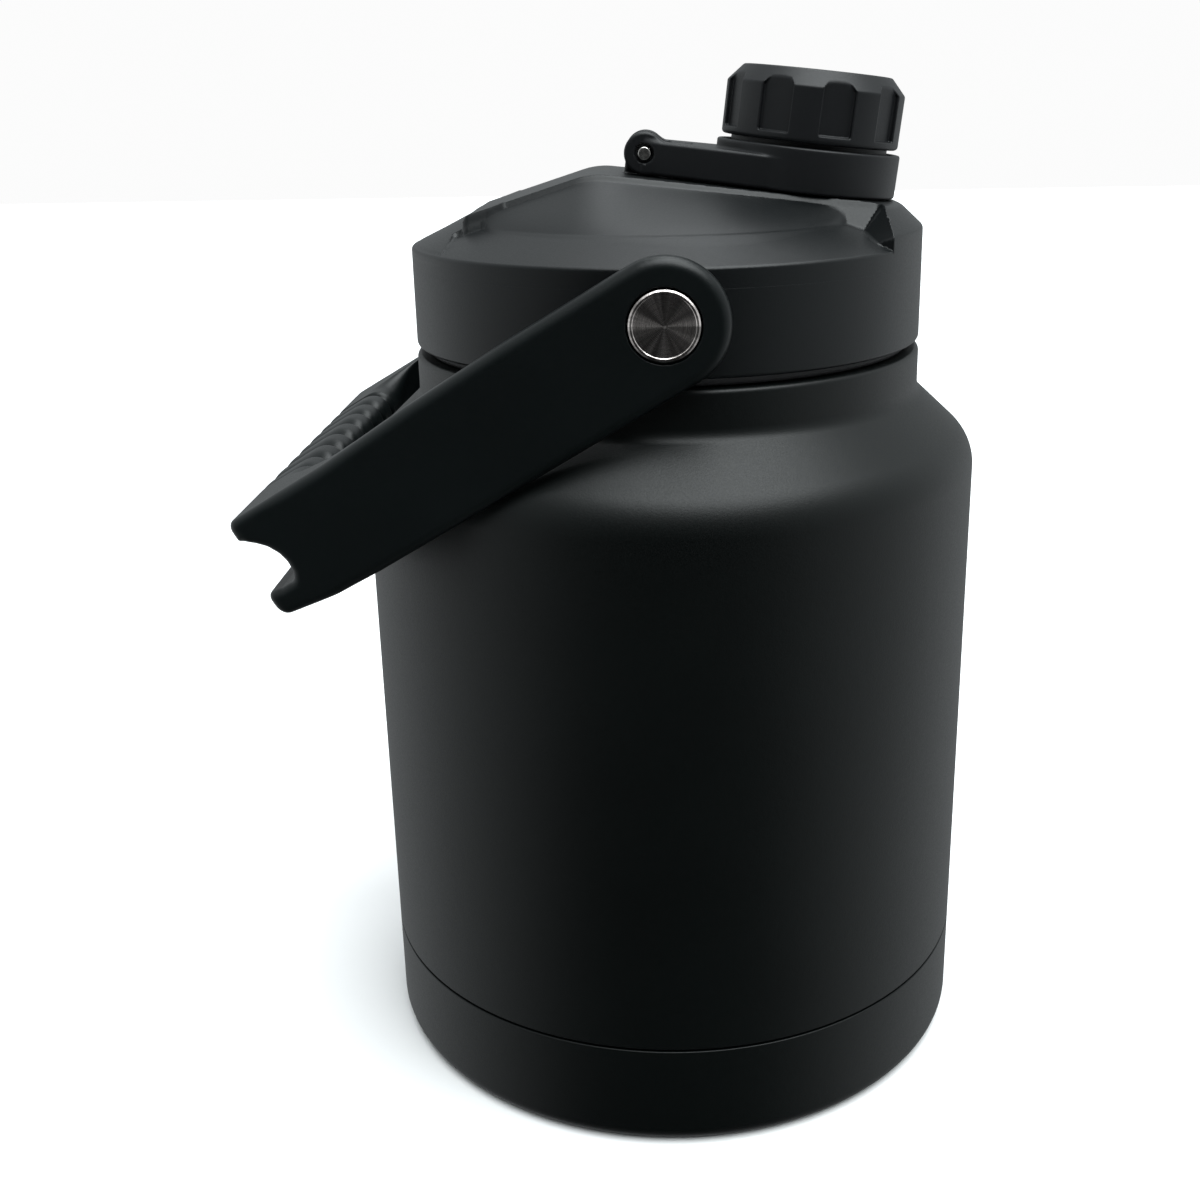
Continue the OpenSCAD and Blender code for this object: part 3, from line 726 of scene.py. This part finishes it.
plug_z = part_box("lid_plug")[0].z / MM
stopper = Shape()
PLUG_R, GROOVE_R = 52.4, 51.6
stopper.lathe([(50.2, 158.0, 0.1), (50.2, plug_z + 1.2, 0.8), (46.5, plug_z + 1.2, 1.0),
               (45.5, plug_z, 0.6), (51.4, plug_z, 0.5), (PLUG_R, plug_z + 2.5, 0.8),
               (PLUG_R, oring_z - 1.5, 0.3), (GROOVE_R, oring_z - 1.3, 0.3),
               (GROOVE_R, oring_z + 1.3, 0.3), (PLUG_R, oring_z + 1.5, 0.3), (PLUG_R, 174.4, 0.5),
               (56.9, 174.4, 0.4), (56.9, 176.3, 0.3), (50.2, 176.3, 0.2)], seg=256)
stopper.rib((51.9, 0), (53.15, 0), LID_PITCH, LID_TURNS, 158.4, 3.0, 1.2)
# floor of the plug, with the hole that the spout's pipe comes through
FLOOR_R, HOLE_R, FLOOR_RINGS, FLOOR_SEG = 45.6, 13.3, 6, 192
hole_x = SPOUT[0] + (plug_z - SPOUT[2]) * math.tan(TILT)
around = np.arange(FLOOR_SEG) * 2 * math.pi / FLOOR_SEG
rings = []
for k in range(FLOOR_RINGS + 1):
    s = k / FLOOR_RINGS
    hole_edge = hole_x + HOLE_R / math.cos(TILT) * np.cos(around)
    px = (1 - s) * FLOOR_R * np.cos(around) + s * hole_edge
    py = (1 - s) * FLOOR_R * np.sin(around) + s * HOLE_R * np.sin(around)
    lift = 0.02 if k < FLOOR_RINGS else 0.5
    rings.append(np.stack([px, py, np.full(FLOOR_SEG, plug_z + lift)], -1))
floor_verts = np.concatenate(rings)
floor_faces = [(k * FLOOR_SEG + j, (k + 1) * FLOOR_SEG + j,
                (k + 1) * FLOOR_SEG + (j + 1) % FLOOR_SEG, k * FLOOR_SEG + (j + 1) % FLOOR_SEG)
               for k in range(FLOOR_RINGS) for j in range(FLOOR_SEG)]
stopper.add(floor_verts, floor_faces, np.tile([0.0, 0.0, -1.0], (len(floor_verts), 1)))
stopper.write("lid_stopper", mats["lid_plastic"], "lid", "lid_plastic", "lid_plug")

# the spout's tapered thread and the cap's share these
TAPER = 0.15  # loss of radius per millimetre of height
CREST0 = 15.0 + TAPER * 5.0
THREAD_H = 0.9
SPOUT_PITCH, SPOUT_TURNS = 3.5, 2.5


def crest_at(w):
    """Radius of the spout thread's crest at height w."""
    return CREST0 - TAPER * w


def cut_level(local):
    """The pipe's lower end is level with the plug's floor, not square to the pipe."""
    low = (plug_z - SPOUT[2] + math.sin(TILT) * local[..., 0]) / math.cos(TILT)
    w = local[..., 2]
    local[..., 2] = np.where(w < -45, low + (w + 60), w)
    return local


pour = Shape()
PIPE_IN, PIPE_OUT, SPOUT_TOP = 10.6, 12.98, 17.0
pour.lathe([(PIPE_IN, -59.98, 0.3), (PIPE_OUT, -59.98, 0.4), (PIPE_OUT, 0.06, 0.1),
            (15.6, 0.06, 0.2), (15.6, 0.95, 0.3), (crest_at(1) - THREAD_H, 1.05, 0.3),
            (crest_at(SPOUT_TOP) - THREAD_H, SPOUT_TOP, 0.8), (PIPE_IN, SPOUT_TOP, 0.9)],
           seg=160, origin=SPOUT, basis=SPOUT_BASIS, warp=cut_level)
pour.rib((CREST0 - THREAD_H - 0.3, -TAPER), (CREST0, -TAPER), SPOUT_PITCH, SPOUT_TURNS,
         4.4, 1.9, 0.7, origin=SPOUT, basis=SPOUT_BASIS)
pour.write("pour_spout", mats["lid_plastic"], "lid", "lid_plastic", "spout")

# ---------------------------------------------------------------- tether ring

RING_R = 21.0
reach = -PIN_U
half_fork = 11.0
# the arm's sides leave the fork's corners and touch the ring
d_corner = math.hypot(reach, half_fork)
tangent = math.atan2(half_fork, -reach) - math.acos(RING_R / d_corner)
plan_points = [(-reach, half_fork, 0.0), (-reach, -half_fork, 0.0)]
plan_points += [(RING_R * math.cos(a), RING_R * math.sin(a), 0.0)
                for a in np.linspace(-tangent, tangent, 90)]
arm_plan = Section(plan_points, (-50, -30), (30, 30), 0.12)


def ring_field(u, v, w):
    r = np.hypot(u, v)
    ring = both(r - RING_R, np.abs(w - 5.2) - 4.8, 0.55)
    arm = both(arm_plan(u + 0 * v, v + 0 * u), np.abs(w - 4.1) - 3.7, 0.8)
    arm = arm + 0.5 * ease((u + 14.0) / 12.0)
    du, dw = u - PIN_U, w - PIN_W
    rk = np.hypot(du, dw)
    knuckle = both(rk - 4.6, np.abs(v) - half_fork, 0.6)
    out = either(either(ring, arm, 0.4), knuckle, 1.0)
    out = minus(out, both(r - 19.4, w - 8.0), 0.0)
    out = minus(out, r - 18.2, 0.3)
    slot = both(both(np.abs(v) - 5.3, u - (PIN_U + 5.6), 0.6), -(u - PIN_U) - 12)
    out = minus(out, slot, 0.35)
    notch = both(both(np.abs(v) - 3.2, np.abs(u - (PIN_U + 7.5)) - 3.2, 0.5), 6.6 - w)
    out = minus(out, notch, 0.3)
    dish = both(rk - 2.15, half_fork - 0.75 - np.abs(v))
    out = minus(out, dish, 0.1)
    return minus(out, rk - 1.5)


ring = Shape()
add_field(ring, ring_field, (-42.5, -21.5, 0), (21.5, 21.5, 10.5), 0.36,
          SPOUT_BASIS, SPOUT)
ring.write("tether_moulding", mats["cap_plastic"], "tether", "cap_plastic", "tether_ring")

hinge_origin = SPOUT + PIN_U * AXIS_U + PIN_W * AXIS_W
pin = Shape()
PIN_R, PIN_HALF = 1.48, 11.3
pin.lathe([(0, -PIN_HALF, 0), (PIN_R, -PIN_HALF, 0.35), (PIN_R, PIN_HALF, 0.35), (0, PIN_HALF, 0)],
          closed=False, seg=64, origin=hinge_origin, basis=y_basis(1.0))
pin.write("hinge_pin_turned", mats["pin_steel"], "tether", "turned_steel", "hinge_pin")

retainer = Shape()
retainer.lathe([(17.3, 1.98, 0.25), (19.05, 1.98, 0.3), (19.05, 3.02, 0.4), (17.3, 3.02, 0.25)], seg=128,
               origin=SPOUT, basis=SPOUT_BASIS)
retainer.write("retainer_ring", mats["cap_plastic"], "cap_collar", "cap_plastic", "cap_retainer")

# ---------------------------------------------------------------- cap

cap_section = Section([(-5, 21, 0), (17.9, 21, 0.2), (17.9, 11, 0.3), (CAP_R, 11, 0.9), (CAP_R, 22.8, 0.7),
                       (16.8, 26.5, 0.9), (-5, 26.5, 0)], (-1, 8), (24, 30), 0.1)
POCKETS, POCKET_HALF, NOTCH_HALF, POCKET_DEPTH = 9, 3.6, 2.5, 1.4
pocket_outline = Section([(-POCKET_HALF, 12.8, 0.4), (POCKET_HALF, 12.8, 0.4),
                          (POCKET_HALF, 22.6, 0.3), (NOTCH_HALF, 24.0, 0.3), (NOTCH_HALF, 30, 0),
                          (-NOTCH_HALF, 30, 0), (-NOTCH_HALF, 24.0, 0.3),
                          (-POCKET_HALF, 22.6, 0.3)], (-14, 8), (14, 31), 0.1)


def cap_field(u, v, w):
    r = np.hypot(u, v)
    out = cap_section(r, w + 0 * r)
    step = 2 * math.pi / POCKETS
    a = np.arctan2(v, u)
    a = a - step * np.round(a / step)
    along, radial = r * np.sin(a), r * np.cos(a)
    pocket = both(pocket_outline(along, w + 0 * along), (CAP_R - POCKET_DEPTH) - radial, 0.35)
    return minus(out, pocket, 0.35)


cap = Shape()
add_field(cap, cap_field, (-20.5, -20.5, 11), (20.5, 20.5, 26.6), 0.34,
          SPOUT_BASIS, SPOUT)
cap.write("cap_moulding", mats["cap_plastic"], "spout_cap", "cap_plastic", "cap_shell")

THREAD_GAP = 0.3
root0 = CREST0 + THREAD_GAP + THREAD_H
SKIRT_R, SNAP_R = 17.88, 17.22  # outside, and the floor of the retainer's groove
skirt = Shape()
skirt.lathe([(0, 19.0, 0), (root0 - TAPER * 19, 19.0, 0.4), (root0 - TAPER * 1.6, 1.6, 0.3),
             (SKIRT_R, 1.6, 0.3), (SKIRT_R, 1.92, 0.1), (SNAP_R, 1.92, 0.05),
             (SNAP_R, 3.08, 0.05), (SKIRT_R, 3.08, 0.1), (SKIRT_R, 20.95, 0.3), (0, 20.95, 0)],
            closed=False, seg=160, origin=SPOUT, basis=SPOUT_BASIS)
skirt.rib((root0 + 0.3, -TAPER), (CREST0 + THREAD_GAP, -TAPER), SPOUT_PITCH, SPOUT_TURNS,
          6.2, 1.9, 0.7, origin=SPOUT, basis=SPOUT_BASIS)
skirt.write("cap_skirt", mats["cap_plastic"], "spout_cap", "cap_plastic", "cap_liner")

washer = Shape()
washer.lathe([(8, 17.25, 0.3), (13.6, 17.25, 0.4), (13.6, 18.95, 0.2), (8, 18.95, 0.2)], seg=128,
             origin=SPOUT, basis=SPOUT_BASIS)
washer.write("cap_washer", mats["silicone"], "spout_cap", "silicone", "cap_gasket")

# ---------------------------------------------------------------- bail

BAIL = math.radians(29.4)  # how far the arms hang below the horizontal at rest
P_DIR = np.array([-math.cos(BAIL), 0.0, -math.sin(BAIL)])
Q_DIR = np.array([-math.sin(BAIL), 0.0, math.cos(BAIL)])
Y_DIR = np.array([0.0, 1.0, 0.0])
BAIL_BASIS = np.stack([P_DIR, Y_DIR, Q_DIR], 1)
EYE_R = 13.3
# side outline, p along the arm from the pivot and q across it
eye = [(EYE_R * math.cos(a), EYE_R * math.sin(a), 0.0)
       for a in np.linspace(-math.pi / 2, -3 * math.pi / 2, 40)]
outline = (eye[::-1]
           + [(2, -EYE_R, 0), (40, -14, 30), (76, -14.5, 14), (86, -14.3, 8), (99.5, -12.4, 4.6),
              (99.5, -6.6, 3.0), (95.6, -7.3, 1.2), (92.4, -7.2, 1.5), (91.4, -5.4, 1.5),
              (91.2, -3.0, 2), (91.7, -0.7, 2), (92.9, 1.6, 2), (94.6, 3.4, 2), (96.6, 4.9, 1.5),
              (98.1, 5.1, 1.8), (98.1, 9.8, 2.3), (74, 10.2, 30), (53.5, 11.7, 30),
              (29.5, 12.8, 30), (2, EYE_R, 0)])
side_view = Section(outline[::-1], (-16, -18), (102, 16), 0.12)
ARM_IN, ARM_OUT, BAR_X, CORNER_R = 61.5, 66.0, -74.3, 14.0
vessel_half = Section([(-5, 0), (BODY_R, 0)]
                      + shoulder(BODY_R, NECK_R, SHOULDER_Z, SHOULDER_R, BLEND_R)
                      + [(NECK_R, 176), (-5, 176)], (30, 100), (105, 190), 0.15)
RIBS, RIB_PITCH, RIB_ARCH, RIB_DEPTH = 7, 11.2, 5.0, 1.3


def bail_field(p, y, q):
    ay = np.abs(y)
    flat = side_view(p + 0 * q, q + 0 * p)
    plan = both(p - 98.9 - 1.6 * ease(-q / 6), ay - ARM_OUT, 4.0)
    out = both(flat + 0 * y, plan, 2.4 - 0.6 * ease((p - 83) / 8))
    x = PIVOT[0] + p * P_DIR[0] + q * Q_DIR[0]
    z = PIVOT[2] + p * P_DIR[2] + q * Q_DIR[2]
    # room for the hand: a vertical prism with rounded far corners
    dx, dy = (BAR_X + CORNER_R) - x, ay - (ARM_IN - CORNER_R)
    window = np.where((dx > 0) & (dy > 0), np.hypot(dx, dy) - CORNER_R,
                      np.maximum(dx - CORNER_R, dy - CORNER_R))
    bar = ease((p - 62) / 14) * ease((58 - ay) / 14)
    out = minus(out, window, 0.5 + 7.5 * bar * ease((q + 5) / 9))
    near = vessel_half(np.hypot(x, y), z + 0 * y) - 0.5
    out = minus(out, near, 0.3)
    rr = np.hypot(p, q)
    out = minus(out, both(rr - 7.5, 63.5 - ay), 0.25)
    out = minus(out, both(rr - 5.5, 40.0 - ay))
    # finger ribs: arched grooves across the crossbar's rounded upper face
    across = (p - 89.0) / 10.0
    phase = math.pi * (y + RIB_ARCH * across * across) / RIB_PITCH
    groove = np.maximum(1 - np.abs(np.cos(phase)), 0) ** 2
    mask = (ease((RIBS * RIB_PITCH / 2 + 1 - ay) / 1.5) * ease((q + 8) / 3) * ease((p - 66) / 4)
            * ease((98.5 - p) / 3) * np.maximum(ease((q - 4.5) / 2), ease((89.5 - p) / 2)))
    return out + RIB_DEPTH * groove * mask


handle = Shape()
add_field(handle, bail_field, (-14, -66.5, -15), (100, 66.5, 14), 0.58,
          BAIL_BASIS, PIVOT)
handle.write("bail_moulding", mats["handle_plastic"], "bail", "handle_plastic", "handle")

# ---------------------------------------------------------------- pivot screws

SHANK_R, JOURNAL_R, HEAD_R = 2.45, 3.98, 7.1
for side, name in ((1.0, "left"), (-1.0, "right")):
    bolt = Shape()
    bolt.lathe([(0, 53.0, 0), (SHANK_R, 53.0, 0.2), (SHANK_R, 60.7, 0.1), (JOURNAL_R, 60.7, 0.1),
                (JOURNAL_R, 63.9, 0.1), (HEAD_R, 63.9, 0.25), (HEAD_R, 66.05, 0.06),
                (6.75, 66.35, 0.08), (6.35, 66.35, 0.08), (6.2, 66.22, 0.08),
                (0.35, 66.22, 0.15), (0, 66.10, 0)], closed=False, seg=160,
               origin=(PIVOT[0], 0, PIVOT[2]), basis=y_basis(side))
    bolt.write("pivot_cap_" + name, mats["turned_steel"], "lid", "turned_steel", "pivot_bolt_" + name)

# ---------------------------------------------------------------- stage and light


def stage_material(name, color, rough):
    mat, nt, bsdf, coords = node_material(name, color, rough)
    n = noise(nt, coords, 6.0, 3.0)
    nt.links.new(ramp(nt, n, scaled(color, 0.985), color), bsdf.inputs["Base Color"])
    return mat


FLOOR_HALF = 3.0  # metres
floor_mesh = bpy.data.meshes.new("floor")
floor_mesh.from_pydata([(-FLOOR_HALF, -FLOOR_HALF, 0), (FLOOR_HALF, -FLOOR_HALF, 0),
                        (FLOOR_HALF, FLOOR_HALF, 0), (-FLOOR_HALF, FLOOR_HALF, 0)],
                       [], [(0, 1, 2, 3)])
floor_mesh.materials.append(stage_material("floor_paint", (0.86, 0.86, 0.86), 0.85))
floor = bpy.data.objects.new("floor", floor_mesh)
bpy.context.scene.collection.objects.link(floor)
floor.visible_glossy = False  # reflections show the room, not the floor

# Surroundings: a light room behind and beside the object, dark where the camera stands
world = bpy.data.worlds.new("world")
bpy.context.scene.world = world
world.use_nodes = True
wt = world.node_tree
wt.nodes.clear()
room = wt.nodes.new("ShaderNodeTexCoord")
split = wt.nodes.new("ShaderNodeSeparateXYZ")
wt.links.new(room.outputs["Generated"], split.inputs["Vector"])


def world_map(value, from_lo, from_hi, to_lo, to_hi):
    """Eased remap of one direction component of the room."""
    m = wt.nodes.new("ShaderNodeMapRange")
    m.interpolation_type = "SMOOTHSTEP"
    for key, v in (("From Min", from_lo), ("From Max", from_hi), ("To Min", to_lo), ("To Max", to_hi)):
        m.inputs[key].default_value = v
    wt.links.new(value, m.inputs["Value"])
    return m.outputs["Result"]


sideways = wt.nodes.new("ShaderNodeMath")
sideways.operation = "ABSOLUTE"
wt.links.new(split.outputs["X"], sideways.inputs[0])
parts = [world_map(sideways.outputs["Value"], 0.42, 1.0, 0.0, 0.6),
         world_map(split.outputs["Y"], -0.55, 0.75, 0.02, 0.42),
         world_map(split.outputs["Z"], 0.1, 0.9, 0.0, 0.35)]
total = None
for part in parts:
    if total is None:
        total = part
        continue
    add = wt.nodes.new("ShaderNodeMath")
    add.operation = "ADD"
    wt.links.new(total, add.inputs[0])
    wt.links.new(part, add.inputs[1])
    total = add.outputs["Value"]
room_light = wt.nodes.new("ShaderNodeBackground")
room_light.inputs["Color"].default_value = (0.93, 0.98, 1.0, 1)
wt.links.new(total, room_light.inputs["Strength"])
paper = wt.nodes.new("ShaderNodeBackground")
paper.inputs["Color"].default_value = (1, 1, 1, 1)
paper.inputs["Strength"].default_value = 0.97
rays = wt.nodes.new("ShaderNodeLightPath")
choose = wt.nodes.new("ShaderNodeMixShader")
wt.links.new(rays.outputs["Is Camera Ray"], choose.inputs["Fac"])
wt.links.new(room_light.outputs["Background"], choose.inputs[1])
wt.links.new(paper.outputs["Background"], choose.inputs[2])
world_out = wt.nodes.new("ShaderNodeOutputWorld")
wt.links.new(choose.outputs["Shader"], world_out.inputs["Surface"])


def softbox(name, toward, energy, width, color):
    """A broad, distant light that shines from the given direction."""
    data = bpy.data.lights.new(name, "SUN")
    data.energy = energy
    data.angle = math.radians(width)
    data.color = color
    obj = bpy.data.objects.new(name, data)
    obj.rotation_euler = (-Vector(toward)).to_track_quat("-Z", "Y").to_euler()
    bpy.context.scene.collection.objects.link(obj)


softbox("key_front_top", (0.20, -0.26, 0.93), 4.6, 58, (0.94, 0.99, 1.0))
softbox("back_top", (0.10, 0.42, 0.90), 0.8, 36, (0.94, 0.98, 1.0))

bpy.context.scene.view_settings.view_transform = "Standard"
